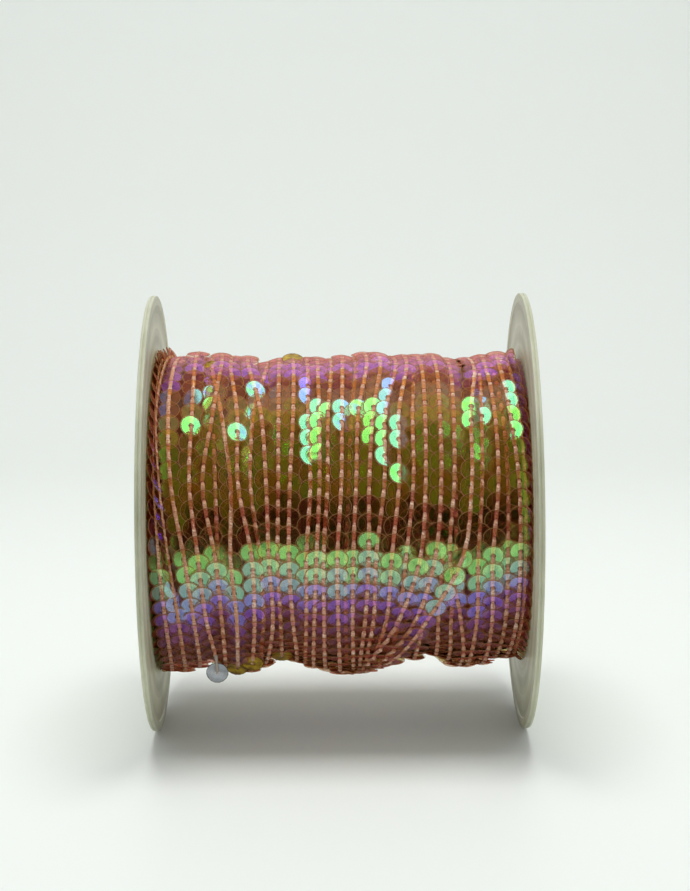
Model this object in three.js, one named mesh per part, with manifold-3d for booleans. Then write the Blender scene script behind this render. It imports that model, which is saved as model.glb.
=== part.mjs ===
// Roll of sequin trim: a strand of flat round sequins on a chain-stitched thread,
// wound in layers on a moulded plastic spool with two thin round flanges.
// Millimetres, +Z up. The spool axis lies along X, the side with the loose end
// faces -Y, and the roll stands on its two flange rims at Z = 0.
import * as THREE from 'three';
import { mergeVertices } from 'three/addons/utils/BufferGeometryUtils.js';
import Module from 'manifold-3d';

const wasm = await Module();
wasm.setup();

// Driving sizes
const FLANGE_RADIUS = 60;
const FLANGE_SPACING = 101.2; // between the middles of the two rims
const RIM_WIDTH = 1.7;
const WEB_STEP = 0.25; // how far the web lies in from the rim on each side
const REST_CUT = 0.3; // depth of the flat that each rim rests on
const HUB_RADIUS = 15;
const HUB_FILLET = 1.6;
const BORE_RADIUS = 13;
const CLEARANCE = 0.3;
const SEQUIN_DIAMETER = 6;
const THREAD_DIAMETER = 1.2;
const WOUND_RADIUS = 43.2; // to the tops of the outermost turns

const AXIS_HEIGHT = FLANGE_RADIUS - REST_CUT;
const OUTER_FACE = (FLANGE_SPACING + RIM_WIDTH) / 2;
const WINDING_END = OUTER_FACE - RIM_WIDTH + WEB_STEP - CLEARANCE;
const radians = THREE.MathUtils.degToRad;

function toSolid(geometry) {
  const bare = geometry.clone();
  bare.deleteAttribute('normal');
  bare.deleteAttribute('uv');
  const merged = mergeVertices(bare, 1e-4);
  return new wasm.Manifold(new wasm.Mesh({
    numProp: 3,
    vertProperties: new Float32Array(merged.attributes.position.array),
    triVerts: new Uint32Array(merged.index.array),
  }));
}

function toGeometry(solid) {
  const mesh = solid.getMesh();
  const geometry = new THREE.BufferGeometry();
  geometry.setAttribute('position', new THREE.BufferAttribute(mesh.vertProperties, 3));
  geometry.setIndex(new THREE.BufferAttribute(mesh.triVerts, 1));
  geometry.computeVertexNormals();
  return geometry;
}

// A profile turned about the spool axis. Each point is [radius, place along X], and
// the points run up the left side, over the top and back along the bore.
function turned(profile, segments) {
  const points = profile.map(([radius, along]) => new THREE.Vector2(radius, along));
  const geometry = new THREE.LatheGeometry([...points, points[0].clone()], segments);
  return geometry.rotateZ(-Math.PI / 2);
}

// A flange: a thin web between a raised rim and a raised boss round the bore,
// moulded in one with its half of the hub. A rim rests on a short flat.
const RIM_REACH = 2.6;
const RIM_CHAMFER = 0.3;
const BOSS_RADIUS = 18;
const FLANGE_SEGMENTS = 60;

function flange() {
  const outside = -OUTER_FACE;
  const inside = outside + RIM_WIDTH;
  const rimFoot = FLANGE_RADIUS - RIM_REACH;
  const disc = turned([
    [BORE_RADIUS + 2 * RIM_CHAMFER, outside],
    [BOSS_RADIUS, outside],
    [BOSS_RADIUS + WEB_STEP, outside + WEB_STEP],
    [rimFoot - WEB_STEP, outside + WEB_STEP],
    [rimFoot, outside],
    [FLANGE_RADIUS - RIM_CHAMFER, outside],
    [FLANGE_RADIUS, outside + RIM_CHAMFER],
    [FLANGE_RADIUS, inside - RIM_CHAMFER],
    [FLANGE_RADIUS - RIM_CHAMFER, inside],
    [rimFoot, inside],
    [rimFoot - WEB_STEP, inside - WEB_STEP],
    [HUB_RADIUS + HUB_FILLET, inside - WEB_STEP],
    [HUB_RADIUS, inside - WEB_STEP + HUB_FILLET],
    [HUB_RADIUS, -CLEARANCE / 2],
    [BORE_RADIUS, -CLEARANCE / 2],
    [BORE_RADIUS, outside + 2 * RIM_CHAMFER],
  ], FLANGE_SEGMENTS);
  const below = new THREE.BoxGeometry(3 * RIM_WIDTH, FLANGE_RADIUS, 2 * FLANGE_RADIUS);
  below.translate(outside + RIM_WIDTH / 2, 0, -AXIS_HEIGHT - FLANGE_RADIUS);
  return toGeometry(toSolid(disc).subtract(toSolid(below)));
}

// The winding: where the thread of each outer turn crosses six lines on the front,
// in mm along X. A line is named by its angle from the top, over the front.
const STATIONS = { at15: 15, at45: 45, at70: 70, at97: 97, at120: 120, at145: 145 };
const COURSES = [
  { at15: -48.4, at45: -48.4, at70: -48.2, at97: -47.0, at120: -46.0, at145: -45.6 },
  { at15: -46.8, at45: -46.8, at70: -46.4, at97: -44.5, at120: -42.6, at145: -42.0 },
  { at15: -44.4, at45: -44.6, at70: -43.6, at97: -40.3, at120: -38.6, at145: -37.9 },
  { at15: -38.6, at45: -38.5, at70: -38.8, at97: -36.7, at120: -35.3, at145: -34.2 },
  { at15: -34.0, at45: -33.2, at70: -35.3, at97: -32.3, at120: -31.2, at145: -31.0 },
  { at15: -31.6, at45: -30.6, at70: -28.2, at97: -28.3, at120: -27.3, at145: -27.6 },
  { at15: -29.0, at45: -26.6, at70: -26.2, at97: -22.8, at120: -22.5, at145: -23.5 },
  { at15: -24.1, at45: -22.5, at70: -23.0, at97: -20.7, at120: -20.1, at145: -21.3 },
  { at15: -19.7, at45: -20.3, at70: -19.0, at97: -18.4, at120: -17.7, at145: -19.2 },
  { at15: -16.0, at45: -15.8, at70: -15.8, at97: -16.1, at120: -15.8, at145: -15.8 },
  { at15: -12.1, at45: -12.0, at70: -12.8, at97: -13.2, at120: -12.6, at145: -11.8 },
  { at15: -8.3, at45: -8.0, at70: -7.5, at97: -8.7, at120: -8.9, at145: -9.4 },
  { at15: -5.6, at45: -5.2, at70: -5.2, at97: -6.1, at120: -6.8, at145: -7.3 },
  { at15: -1.9, at45: -2.9, at70: -3.1, at97: -4.3, at120: -4.3, at145: -4.3 },
  { at15: 1.1, at45: 0.8, at70: 0.5, at97: -0.7, at120: -0.6, at145: -0.3 },
  { at15: 7.6, at45: 5.0, at70: 4.3, at97: 3.4, at120: 3.2, at145: 3.4 },
  { at15: 11.3, at45: 8.9, at70: 7.7, at97: 7.4, at120: 6.6, at145: 5.4 },
  { at15: 15.4, at45: 12.1, at70: 11.6, at97: 9.3, at120: 8.8, at145: 7.2 },
  { at15: 18.4, at45: 15.7, at70: 15.4, at97: 13.4, at120: 12.3, at145: 9.4 },
  { at15: 20.2, at45: 19.3, at70: 19.1, at97: 17.1, at120: 15.6, at145: 13.6 },
  { at15: 22.4, at45: 22.6, at70: 22.3, at97: 20.7, at120: 19.2, at145: 17.3 },
  { at15: 26.3, at45: 26.5, at70: 26.3, at97: 24.5, at120: 22.4, at145: 20.8 },
  { at15: 30.1, at45: 30.1, at70: 29.7, at97: 28.3, at120: 25.9, at145: 26.0 },
  { at15: 33.3, at45: 32.2, at70: 32.0, at97: 30.4, at120: 29.3, at145: 29.5 },
  { at15: 36.5, at45: 34.6, at70: 34.2, at97: 32.4, at120: 32.2, at145: 33.0 },
  { at15: 37.9, at45: 37.4, at70: 36.9, at97: 35.8, at120: 35.9, at145: 35.1 },
  { at15: 39.6, at45: 40.9, at70: 41.1, at97: 39.6, at120: 39.9, at145: 39.5 },
  { at15: 41.4, at45: 43.0, at70: 43.6, at97: 43.5, at120: 43.6, at145: 42.8 },
  { at15: 43.4, at45: 44.9, at70: 46.4, at97: 46.7, at120: 46.5, at145: 45.7 },
  { at15: 46.4, at45: 47.6, at70: 48.3, at97: 48.4, at120: 48.2, at145: 47.6 },
];
// Behind, the turns lie evenly side by side between these two places.
const EVEN_STATIONS = [205, 260, 315];
const FIRST_EVEN = -48.2;
const LAST_EVEN = 48.2;

// Swells and hollows of the winding: the place along X and round the roll,
// how far each spreads along (mm) and round (degrees), and its rise.
const SWELLS = [
  { along: -46, around: 166, spread: 5, reach: 40, rise: 1.2 },
  { along: -28, around: 166, spread: 4.5, reach: 24, rise: 1.9 },
  { along: -15, around: 166, spread: 6, reach: 32, rise: -2.3 },
  { along: 0, around: 166, spread: 7, reach: 26, rise: 1.1 },
  { along: 25, around: 166, spread: 5, reach: 30, rise: -1.9 },
  { along: 33, around: 166, spread: 3, reach: 22, rise: 0.6 },
  { along: 47, around: 166, spread: 7, reach: 36, rise: -2.5 },
  { along: -38, around: -6, spread: 6, reach: 36, rise: 1.4 },
  { along: -20, around: -6, spread: 5, reach: 30, rise: -0.6 },
  { along: -6, around: -6, spread: 5, reach: 30, rise: -0.7 },
  { along: 7, around: -6, spread: 5, reach: 32, rise: 1.0 },
  { along: 33, around: -6, spread: 4, reach: 28, rise: -1.1 },
  { along: 44, around: -6, spread: 4, reach: 36, rise: 0.5 },
  { along: -30, around: 250, spread: 8, reach: 36, rise: -0.8 },
  { along: 12, around: 235, spread: 9, reach: 40, rise: 0.8 },
  { along: 36, around: 285, spread: 7, reach: 34, rise: -0.9 },
];

// Three turns that leave the row low on the front and cross its neighbours slantwise.
const CROSSINGS = [
  { from: 88, places: [33.0, 31.2, 27.0, 22.6, 18.4, 13.6, 8.0] },
  { from: 90, places: [25.2, 24.3, 22.0, 19.4, 15.8, 11.4, 7.4] },
  { from: 90, places: [21.2, 20.4, 18.0, 15.0, 11.8, 8.0, 5.6] },
];
const CROSSING_STEP = 10.5; // degrees between two places of a crossing turn

const TURN_SEGMENTS = 44;
const CREST_HALF = THREAD_DIAMETER / 2;
const CLOSEST = 1.6; // the least distance between two neighbouring turns
const VALLEY_SLOPE = 0.3;
const DEEPEST_VALLEY = 1.7;
const SHOULDER_DROP = 1.1;

// A smooth closed curve through [angle, value] pairs that go once round.
function roundCurve(stops, angle) {
  const count = stops.length;
  let at = stops.findIndex(([stop], i) => {
    const next = i + 1 < count ? stops[i + 1][0] : stops[0][0] + 360;
    const turned = angle < stops[0][0] ? angle + 360 : angle;
    return turned >= stop && turned < next;
  });
  if (at < 0) at = count - 1;
  const stop = (i) => {
    const lap = Math.floor(i / count);
    const [place, value] = stops[i - lap * count];
    return [place + 360 * lap, value];
  };
  const [a, b, c, d] = [stop(at - 1), stop(at), stop(at + 1), stop(at + 2)];
  const here = angle < stops[0][0] ? angle + 360 : angle;
  const span = c[0] - b[0];
  const t = (here - b[0]) / span;
  const slopeIn = span * (c[1] - a[1]) / (c[0] - a[0]);
  const slopeOut = span * (d[1] - b[1]) / (d[0] - b[0]);
  return (2 * t ** 3 - 3 * t ** 2 + 1) * b[1] + (t ** 3 - 2 * t ** 2 + t) * slopeIn
    + (3 * t ** 2 - 2 * t ** 3) * c[1] + (t ** 3 - t ** 2) * slopeOut;
}

function angleApart(a, b) {
  return THREE.MathUtils.euclideanModulo(a - b + 180, 360) - 180;
}

function woundRadius(along, angle) {
  let radius = WOUND_RADIUS;
  for (const swell of SWELLS) {
    const across = (along - swell.along) / swell.spread;
    const round = angleApart(angle, swell.around) / swell.reach;
    radius += swell.rise * Math.exp(-(across ** 2) - round ** 2);
  }
  return radius;
}

// Where the turns lie at one angle, left to right, none closer than CLOSEST.
function turnsAt(angle) {
  const places = COURSES.map((course, turn) => {
    const even = THREE.MathUtils.lerp(FIRST_EVEN, LAST_EVEN, turn / (COURSES.length - 1));
    const stops = Object.entries(STATIONS).map(([name, stop]) => [stop, course[name]]);
    return roundCurve([...stops, ...EVEN_STATIONS.map((stop) => [stop, even])], angle);
  });
  const edge = WINDING_END - CREST_HALF - CLEARANCE;
  for (let turn = 0; turn < places.length; turn++) {
    const least = turn ? places[turn - 1] + CLOSEST : -edge;
    places[turn] = Math.max(places[turn], least);
  }
  for (let turn = places.length - 1; turn >= 0; turn--) {
    const most = turn + 1 < places.length ? places[turn + 1] - CLOSEST : edge;
    places[turn] = Math.min(places[turn], most);
  }
  return places;
}

// The outline of the winding at one angle: bore on the hub, end, a crest for each turn.
function outlineAt(angle) {
  const places = turnsAt(angle);
  const radius = (along) => woundRadius(along, angle);
  const bore = HUB_RADIUS + CLEARANCE;
  const outline = [
    [bore, HUB_FILLET - WINDING_END],
    [bore + HUB_FILLET, -WINDING_END],
    [radius(-WINDING_END) - SHOULDER_DROP, -WINDING_END],
  ];
  places.forEach((place, turn) => {
    if (turn) {
      const gap = place - places[turn - 1];
      const middle = place - gap / 2;
      const depth = Math.min(DEEPEST_VALLEY, VALLEY_SLOPE * gap);
      outline.push([radius(middle) - depth, middle]);
    }
    outline.push([radius(place), place - CREST_HALF], [radius(place), place + CREST_HALF]);
  });
  outline.push(
    [radius(WINDING_END) - SHOULDER_DROP, WINDING_END],
    [bore + HUB_FILLET, WINDING_END],
    [bore, WINDING_END - HUB_FILLET],
  );
  return outline;
}

function wound() {
  const sample = outlineAt(0).map(([radius, along]) => new THREE.Vector2(radius, along));
  const geometry = new THREE.LatheGeometry([...sample, sample[0].clone()], TURN_SEGMENTS);
  const position = geometry.attributes.position;
  for (let step = 0; step <= TURN_SEGMENTS; step++) {
    const angle = 360 * (step % TURN_SEGMENTS) / TURN_SEGMENTS;
    const outline = outlineAt(angle);
    [...outline, outline[0]].forEach(([radius, along], row) => {
      position.setXYZ(
        step * (outline.length + 1) + row,
        radius * Math.sin(radians(angle)), along, radius * Math.cos(radians(angle)),
      );
    });
  }
  return geometry.rotateZ(-Math.PI / 2);
}

// A place on the winding: along X, at an angle from the top, and lifted off the surface.
function onWinding(along, angle, lift) {
  const radius = woundRadius(along, angle) + lift;
  return new THREE.Vector3(
    along, -radius * Math.sin(radians(angle)), radius * Math.cos(radians(angle)),
  );
}

function cordAlong(points, radius, sides, steps) {
  const section = new THREE.Shape();
  for (let side = 0; side < sides; side++) {
    const turn = 2 * Math.PI * side / sides;
    const place = [radius * Math.cos(turn), radius * Math.sin(turn)];
    if (side) section.lineTo(...place);
    else section.moveTo(...place);
  }
  const path = new THREE.CatmullRomCurve3(points);
  return new THREE.ExtrudeGeometry(section, { steps, extrudePath: path, bevelEnabled: false });
}

// A crossing turn lies half sunk in the row, with both ends run under it.
const CROSSING_RADIUS = 1.5;
const CROSSING_LIFT = -0.5;
const CROSSING_SIDES = 6;
const CROSSING_SINK = 2.4;

function crossing({ from, places }) {
  const points = places.map((along, i) => {
    const buried = i === 0 || i === places.length - 1;
    const lift = buried ? CROSSING_LIFT - CROSSING_SINK : CROSSING_LIFT;
    return onWinding(along, from + i * CROSSING_STEP, lift);
  });
  return cordAlong(points, CROSSING_RADIUS, CROSSING_SIDES, 2 * places.length);
}

function winding() {
  let solid = toSolid(wound());
  for (const row of CROSSINGS) solid = solid.add(toSolid(crossing(row)));
  return toGeometry(solid);
}

// The loose end low on the front: a few millimetres of bare thread that come off
// the last turn, with the last sequin turned outwards on it.
const END_PLACE = { along: -33.1, angle: 147 };
const END_SEQUIN_LIFT = 3.4;
const END_THREAD_FOOT = { along: -33.4, angle: 142.5 };
const END_RISE = 2; // how far up its sequin the thread stays straight
const END_SEQUIN_THICKNESS = 0.6;
const END_TILT = 8; // degrees that the turned sequin leans back
const END_SIDES = 16;

function looseEnd() {
  const centre = onWinding(END_PLACE.along, END_PLACE.angle, END_SEQUIN_LIFT);
  const disc = new THREE.CylinderGeometry(
    SEQUIN_DIAMETER / 2, SEQUIN_DIAMETER / 2, END_SEQUIN_THICKNESS, END_SIDES,
  );
  disc.rotateX(radians(-END_TILT));
  disc.translate(centre.x, centre.y, centre.z);
  const foot = onWinding(
    END_THREAD_FOOT.along, END_THREAD_FOOT.angle, THREAD_DIAMETER / 2,
  );
  const thread = cordAlong([
    new THREE.Vector3(centre.x, centre.y - THREAD_DIAMETER / 4, centre.z - THREAD_DIAMETER / 2),
    new THREE.Vector3(centre.x, centre.y - THREAD_DIAMETER / 2, centre.z + END_RISE),
    foot,
  ], THREAD_DIAMETER / 2, CROSSING_SIDES, 4);
  return toGeometry(toSolid(disc).add(toSolid(thread)));
}

const plastic = () => new THREE.MeshStandardMaterial({
  color: 0xc9ccb9, roughness: 0.45, metalness: 0,
});
const sequins = () => new THREE.MeshStandardMaterial({
  color: 0x8a4526, roughness: 0.25, metalness: 0.35,
});
const turnedSequin = () => new THREE.MeshStandardMaterial({
  color: 0xa9adb8, roughness: 0.2, metalness: 0.35,
});

function part(name, geometry, material) {
  const mesh = new THREE.Mesh(geometry, material);
  mesh.name = name;
  return mesh;
}

const roll = new THREE.Group();
const rightFlange = part('right_flange', flange(), plastic());
rightFlange.rotation.z = Math.PI;
roll.add(
  part('left_flange', flange(), plastic()),
  rightFlange,
  part('winding', winding(), sequins()),
  part('loose_end', looseEnd(), turnedSequin()),
);
roll.position.z = AXIS_HEIGHT;

export default roll;
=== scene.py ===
"""The looks of a roll of sequin trim: flat round iridescent sequins on a chain-stitched
thread, wound in uneven layers on a moulded plastic spool. Metres, +Z up, -Y to the front.
"""
import math
from collections import namedtuple
import bpy
import numpy as np
from mathutils import Matrix, Vector


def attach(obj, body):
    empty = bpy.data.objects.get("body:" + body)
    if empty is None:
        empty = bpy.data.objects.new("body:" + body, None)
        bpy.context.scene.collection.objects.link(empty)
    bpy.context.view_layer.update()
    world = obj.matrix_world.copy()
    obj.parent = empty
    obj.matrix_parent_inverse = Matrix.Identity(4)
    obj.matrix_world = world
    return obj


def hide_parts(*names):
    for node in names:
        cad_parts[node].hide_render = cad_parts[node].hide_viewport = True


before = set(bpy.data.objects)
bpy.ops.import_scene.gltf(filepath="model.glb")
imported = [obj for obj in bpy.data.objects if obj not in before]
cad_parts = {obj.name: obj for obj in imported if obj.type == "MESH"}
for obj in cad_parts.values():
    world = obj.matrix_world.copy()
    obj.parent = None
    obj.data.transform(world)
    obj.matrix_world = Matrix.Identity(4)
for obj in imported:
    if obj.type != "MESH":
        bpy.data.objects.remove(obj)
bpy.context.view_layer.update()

# The camera: a long lens at about 0.6 m, some 40 mm above the top of the flanges and
# looking slightly down on the middle of the roll.
MM = 0.001
scene = bpy.context.scene
scene.view_settings.view_transform = "Standard"
AIM = Vector((1.7, 0.0, 78.1)) * MM
CAMERA_DISTANCE = 605 * MM
CAMERA_DOWN = math.radians(8)
CAMERA_LEFT = math.radians(0.28)
CAMERA_ROLL = math.radians(-0.41)
FOCAL_PIXELS = 2191  # fitted to the outlines of the two flanges in the photo
IMAGE_HEIGHT = 891

view = Vector((
    math.sin(CAMERA_LEFT) * math.cos(CAMERA_DOWN),
    math.cos(CAMERA_LEFT) * math.cos(CAMERA_DOWN),
    -math.sin(CAMERA_DOWN),
))
lens = bpy.data.cameras.new("camera")
lens.sensor_fit = "VERTICAL"
lens.sensor_height = 24
lens.lens = FOCAL_PIXELS * lens.sensor_height / IMAGE_HEIGHT
lens.clip_start = 0.01
camera = bpy.data.objects.new("camera", lens)
camera.location = AIM - view * CAMERA_DISTANCE
upright = view.to_track_quat("-Z", "Y").to_matrix()
camera.rotation_euler = (upright @ Matrix.Rotation(CAMERA_ROLL, 3, "Z")).to_euler()
scene.collection.objects.link(camera)
scene.camera = camera


# The stage: a white table that sweeps up into the backdrop, soft light from above, and what
# the glossy film mirrors: a dim room with its ceiling and floor, a panel and two strip lights.
def linear(colour):
    """An sRGB hex colour as linear red, green, blue, alpha."""
    parts = [int(colour[i:i + 2], 16) / 255 for i in (1, 3, 5)]
    return [c / 12.92 if c <= 0.04045 else ((c + 0.055) / 1.055) ** 2.4 for c in parts] + [1]


def add(tree, kind, values=None, links=None, **settings):
    """A new node with its settings, the values of its inputs and the links into them. A link
    comes from an output, or from a node, which stands for its first output."""
    node = tree.nodes.new(kind)
    for name, value in settings.items():
        setattr(node, name, value)
    for name, value in (values or {}).items():
        node.inputs[name].default_value = value
    for name, source in (links or {}).items():
        tree.links.new(getattr(source, "outputs", [source])[0], node.inputs[name])
    return node


def finish_with(name, build):
    """A new material whose surface is the shader that build makes in its tree."""
    finish = bpy.data.materials.new(name)
    finish.use_nodes = True
    finish.node_tree.nodes.clear()
    shader = build(finish.node_tree)
    add(finish.node_tree, "ShaderNodeOutputMaterial", links={"Surface": shader})
    return finish


def solid(name, points, faces, finish, smooth=True):
    """A new object from points in mm."""
    mesh = bpy.data.meshes.new(name)
    mesh.from_pydata((np.asarray(points, float) * MM).tolist(), [], faces)
    mesh.materials.append(finish)
    for polygon in mesh.polygons:
        polygon.use_smooth = smooth
    piece = bpy.data.objects.new(name, mesh)
    scene.collection.objects.link(piece)
    return piece


def only_mirrored(name, points, faces, colour, strength):
    """A glowing panel that only the glossy reflections show."""
    light = finish_with(name + "_glow", lambda tree: add(
        tree, "ShaderNodeEmission", {"Color": linear(colour), "Strength": strength},
    ))
    panel = solid(name, points, faces, light)
    panel.visible_camera = panel.visible_diffuse = panel.visible_shadow = False
    panel.visible_transmission = False


TABLE_MIRRORED_FROM = -112  # the front edge of the table as the film mirrors it, in mm
TABLE_FRONT = -900
SWEEP_START = 480
SWEEP_RADIUS = 260
BACKDROP_TOP = 1500
TABLE_HALF_WIDTH = 1600

white_board = finish_with("white_laminated_board", lambda tree: add(
    tree, "ShaderNodeBsdfPrincipled",
    {"Base Color": linear("#EDF0ED"), "Roughness": 0.5, "Specular IOR Level": 0.25},
))
sweep = [(TABLE_MIRRORED_FROM, 0.0), (SWEEP_START, 0.0)]
sweep += [
    (SWEEP_START + SWEEP_RADIUS * math.sin(turn), SWEEP_RADIUS * (1 - math.cos(turn)))
    for turn in np.radians(np.arange(10, 91, 10))
]
sweep += [(SWEEP_START + SWEEP_RADIUS, BACKDROP_TOP)]
points = [(x, y, z) for y, z in sweep for x in (-TABLE_HALF_WIDTH, TABLE_HALF_WIDTH)]
faces = [(2 * i, 2 * i + 1, 2 * i + 3, 2 * i + 2) for i in range(len(sweep) - 1)]
solid("table_and_backdrop", points, faces, white_board)
QUAD = [(0, 1, 3, 2)]
points = [
    (x, y, 0) for y in (TABLE_FRONT, TABLE_MIRRORED_FROM)
    for x in (-TABLE_HALF_WIDTH, TABLE_HALF_WIDTH)
]
table_front = solid("table_front", points, QUAD, white_board)
table_front.visible_glossy = False

room = bpy.data.worlds.new("pale_studio")
room.use_nodes = True
room.node_tree.nodes.clear()
ray = add(room.node_tree, "ShaderNodeLightPath")
pale = add(room.node_tree, "ShaderNodeBackground", {"Color": linear("#F5F8F6"), "Strength": 0.61})
dim = add(room.node_tree, "ShaderNodeBackground", {"Color": linear("#C1C167"), "Strength": 0.22})
mixed = add(room.node_tree, "ShaderNodeMixShader", links={
    0: ray.outputs["Is Glossy Ray"], 1: pale, 2: dim,
})
add(room.node_tree, "ShaderNodeOutputWorld", links={"Surface": mixed})
scene.world = room

overhead = bpy.data.lights.new("overhead_softbox", "AREA")
overhead.shape = "SQUARE"
overhead.size = 0.46
overhead.energy = 5.0
overhead_box = bpy.data.objects.new("overhead_softbox", overhead)
overhead_box.location = (0, 0.01, 0.9)
overhead_box.visible_glossy = False
scene.collection.objects.link(overhead_box)

# Level panels: a bright one above and behind, which the top of the roll mirrors, the dark
# floor in front of the table, and the ceiling, warm over the table and dimmer orange behind.
for name, near, far, height, half_width, colour, strength in (
    ("rear_panel", 285, 1300, 900, 1500, "#F4FFFA", 1.0),
    ("dark_room_floor", TABLE_MIRRORED_FROM - 2, -1000, -5, 2500, "#000000", 0.0),
    ("warm_ceiling", -560, -70, 800, 1500, "#FFA07A", 0.7),
    ("dark_ceiling", -70, 255, 800, 1500, "#FFA640", 0.4),
):
    points = [(x, y, height) for y in (near, far) for x in (-half_width, half_width)]
    only_mirrored(name, points, QUAD, colour, strength)

# Dim warm bars, such as stands across the room, which break up what the front mirrors.
BARS_AWAY, BARS_FOOT, BARS_TOP = -1500, -40, 2100
for name, left, right in (
    ("far_left_bar", -2300, -760), ("left_bar", -430, -170), ("right_bar", 130, 420),
    ("far_right_bar", 700, 2300),
):
    points = [(x, BARS_AWAY, z) for z in (BARS_FOOT, BARS_TOP) for x in (left, right)]
    only_mirrored(name, points, QUAD, "#FF8840", 0.15)

STRIP_NEAR, STRIP_FAR = 20, 47  # degrees that each strip light stands off to its side
STRIP_DISTANCE = 620
STRIP_LINES = 12
STRIP_FROM, STRIP_TO = 22, 104  # degrees over the horizon at the front, past the zenith


def strip_point(side, elevation, off):
    """A point of a strip light in mm, on the left for side -1 and on the right for +1."""
    off = math.radians(off * side)
    rise = math.radians(elevation)
    away = Vector((math.sin(off), -math.cos(off) * math.cos(rise), math.cos(off) * math.sin(rise)))
    return Vector((0, 0, AIM.z / MM)) + away * STRIP_DISTANCE


for side, name in ((-1, "left_strip"), (1, "right_strip")):
    points = [
        strip_point(side, elevation, off)
        for elevation in np.linspace(STRIP_FROM, STRIP_TO, STRIP_LINES)
        for off in (STRIP_NEAR, STRIP_FAR)
    ]
    faces = [(2 * i, 2 * i + 1, 2 * i + 3, 2 * i + 2) for i in range(len(points) // 2 - 1)]
    only_mirrored(name, points, faces, "#D0FFFF", 2.4)


# The spool: two thin round flanges, each injection moulded in one with its half of the
# hub from natural polypropylene. The rim is thicker than the web and stands on the table.
FLANGE_RADIUS = 60.0
OUTER_FACE = 51.45
RIM_WIDTH = 1.7
WEB_STEP = 0.25
RIM_REACH = 2.6
HUB_RADIUS = 15.0
BORE_RADIUS = 13.0
BOSS_RADIUS = 18.0
HUB_FILLET = 1.6
BORE_CHAMFER = 0.6
HALF_GAP = 0.15  # between the two halves of the hub
AXIS_HEIGHT = 59.7
FLANGE_TURNS = 192


def ramp(tree, amount, stops):
    """The colour for an amount, between stops of a position and a hex colour."""
    node = add(tree, "ShaderNodeValToRGB", links={0: amount})
    elements = node.color_ramp.elements
    while len(elements) < len(stops):
        elements.new(0.5)
    for element, (position, colour) in zip(elements, stops):
        element.position = position
        element.color = linear(colour)
    return node


def mottling(tree, apart, detail, roughness=0.5):
    """Noise in the object's own space, with its spots so many mm apart."""
    place = add(tree, "ShaderNodeTexCoord")
    return add(
        tree, "ShaderNodeTexNoise",
        {"Scale": 1 / (apart * MM), "Detail": detail, "Roughness": roughness},
        {"Vector": place.outputs["Object"]},
    )


def bumps(tree, height, strength, distance):
    """Relief from a height, over a distance in mm."""
    return add(
        tree, "ShaderNodeBump", {"Strength": strength, "Distance": distance * MM},
        {"Height": height},
    )


def moulded_plastic(tree):
    """Natural polypropylene: milky grey-green, softly glossy, with fine rings from the
    turned mould."""
    place = add(tree, "ShaderNodeTexCoord")
    from_axis = add(
        tree, "ShaderNodeVectorMath", {1: (0, 0, -AXIS_HEIGHT * MM)},
        {0: place.outputs["Object"]}, operation="ADD",
    )
    flat = add(tree, "ShaderNodeVectorMath", {1: (0, 1, 1)}, {0: from_axis}, operation="MULTIPLY")
    radius = add(tree, "ShaderNodeVectorMath", links={0: flat}, operation="LENGTH")
    rings = add(
        tree, "ShaderNodeTexNoise", {"Scale": 1 / (6.7 * MM), "Detail": 4, "Roughness": 0.7},
        {"W": radius.outputs["Value"]}, noise_dimensions="1D",
    )
    mottle = mottling(tree, 11, 4, 0.55)
    tone = add(tree, "ShaderNodeMath", {1: 0.5}, {0: mottle, 2: rings}, operation="MULTIPLY_ADD")
    colour = ramp(tree, tone, [(0.45, "#A0A188"), (1.0, "#D6D7C4")])
    return add(
        tree, "ShaderNodeBsdfPrincipled",
        {"Roughness": 0.42, "IOR": 1.49, "Specular IOR Level": 0.4,
         "Subsurface Weight": 0.55, "Subsurface Radius": (1.0, 0.95, 0.7),
         "Subsurface Scale": 3 * MM},
        {"Base Color": colour, "Normal": bumps(tree, rings, 0.35, 0.1)},
    )


def turned(profile, turns):
    """Points and faces of a closed profile of (radius, along) turned about the spool's axis."""
    angles = 2 * np.pi * np.arange(turns) / turns
    radius, along = np.array(profile).T
    points = np.stack([
        np.broadcast_to(along, (turns, len(along))),
        -radius * np.sin(angles)[:, None],
        AXIS_HEIGHT + radius * np.cos(angles)[:, None],
    ], axis=-1).reshape(-1, 3)
    rows = len(profile)
    faces = [
        (t * rows + r, t * rows + (r + 1) % rows,
         (t + 1) % turns * rows + (r + 1) % rows, (t + 1) % turns * rows + r)
        for t in range(turns) for r in range(rows)
    ]
    return points, faces


plastic = finish_with("natural_polypropylene", moulded_plastic)
outside, inside = OUTER_FACE, OUTER_FACE - RIM_WIDTH
web_outside, web_inside = outside - WEB_STEP, inside + WEB_STEP
rim_foot = FLANGE_RADIUS - RIM_REACH
half_profile = [
    (BORE_RADIUS + BORE_CHAMFER, outside), (BOSS_RADIUS, outside), (BOSS_RADIUS + 0.25, web_outside),
    (rim_foot - 0.25, web_outside), (rim_foot, outside),
    (FLANGE_RADIUS - 0.35, outside), (FLANGE_RADIUS - 0.1, outside - 0.1),
    (FLANGE_RADIUS, outside - 0.35), (FLANGE_RADIUS, outside - 0.75),
    (FLANGE_RADIUS - 0.14, outside - 0.82), (FLANGE_RADIUS - 0.14, outside - 0.92),
    (FLANGE_RADIUS, outside - 0.99), (FLANGE_RADIUS, inside + 0.3),
    (FLANGE_RADIUS - 0.1, inside + 0.08), (FLANGE_RADIUS - 0.3, inside),
    (rim_foot, inside), (rim_foot - 0.25, web_inside),
    (HUB_RADIUS + HUB_FILLET, web_inside), (HUB_RADIUS + 0.5, web_inside - 0.5),
    (HUB_RADIUS, web_inside - HUB_FILLET),
    (HUB_RADIUS, HALF_GAP), (BORE_RADIUS, HALF_GAP), (BORE_RADIUS, outside - BORE_CHAMFER),
]
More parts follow.
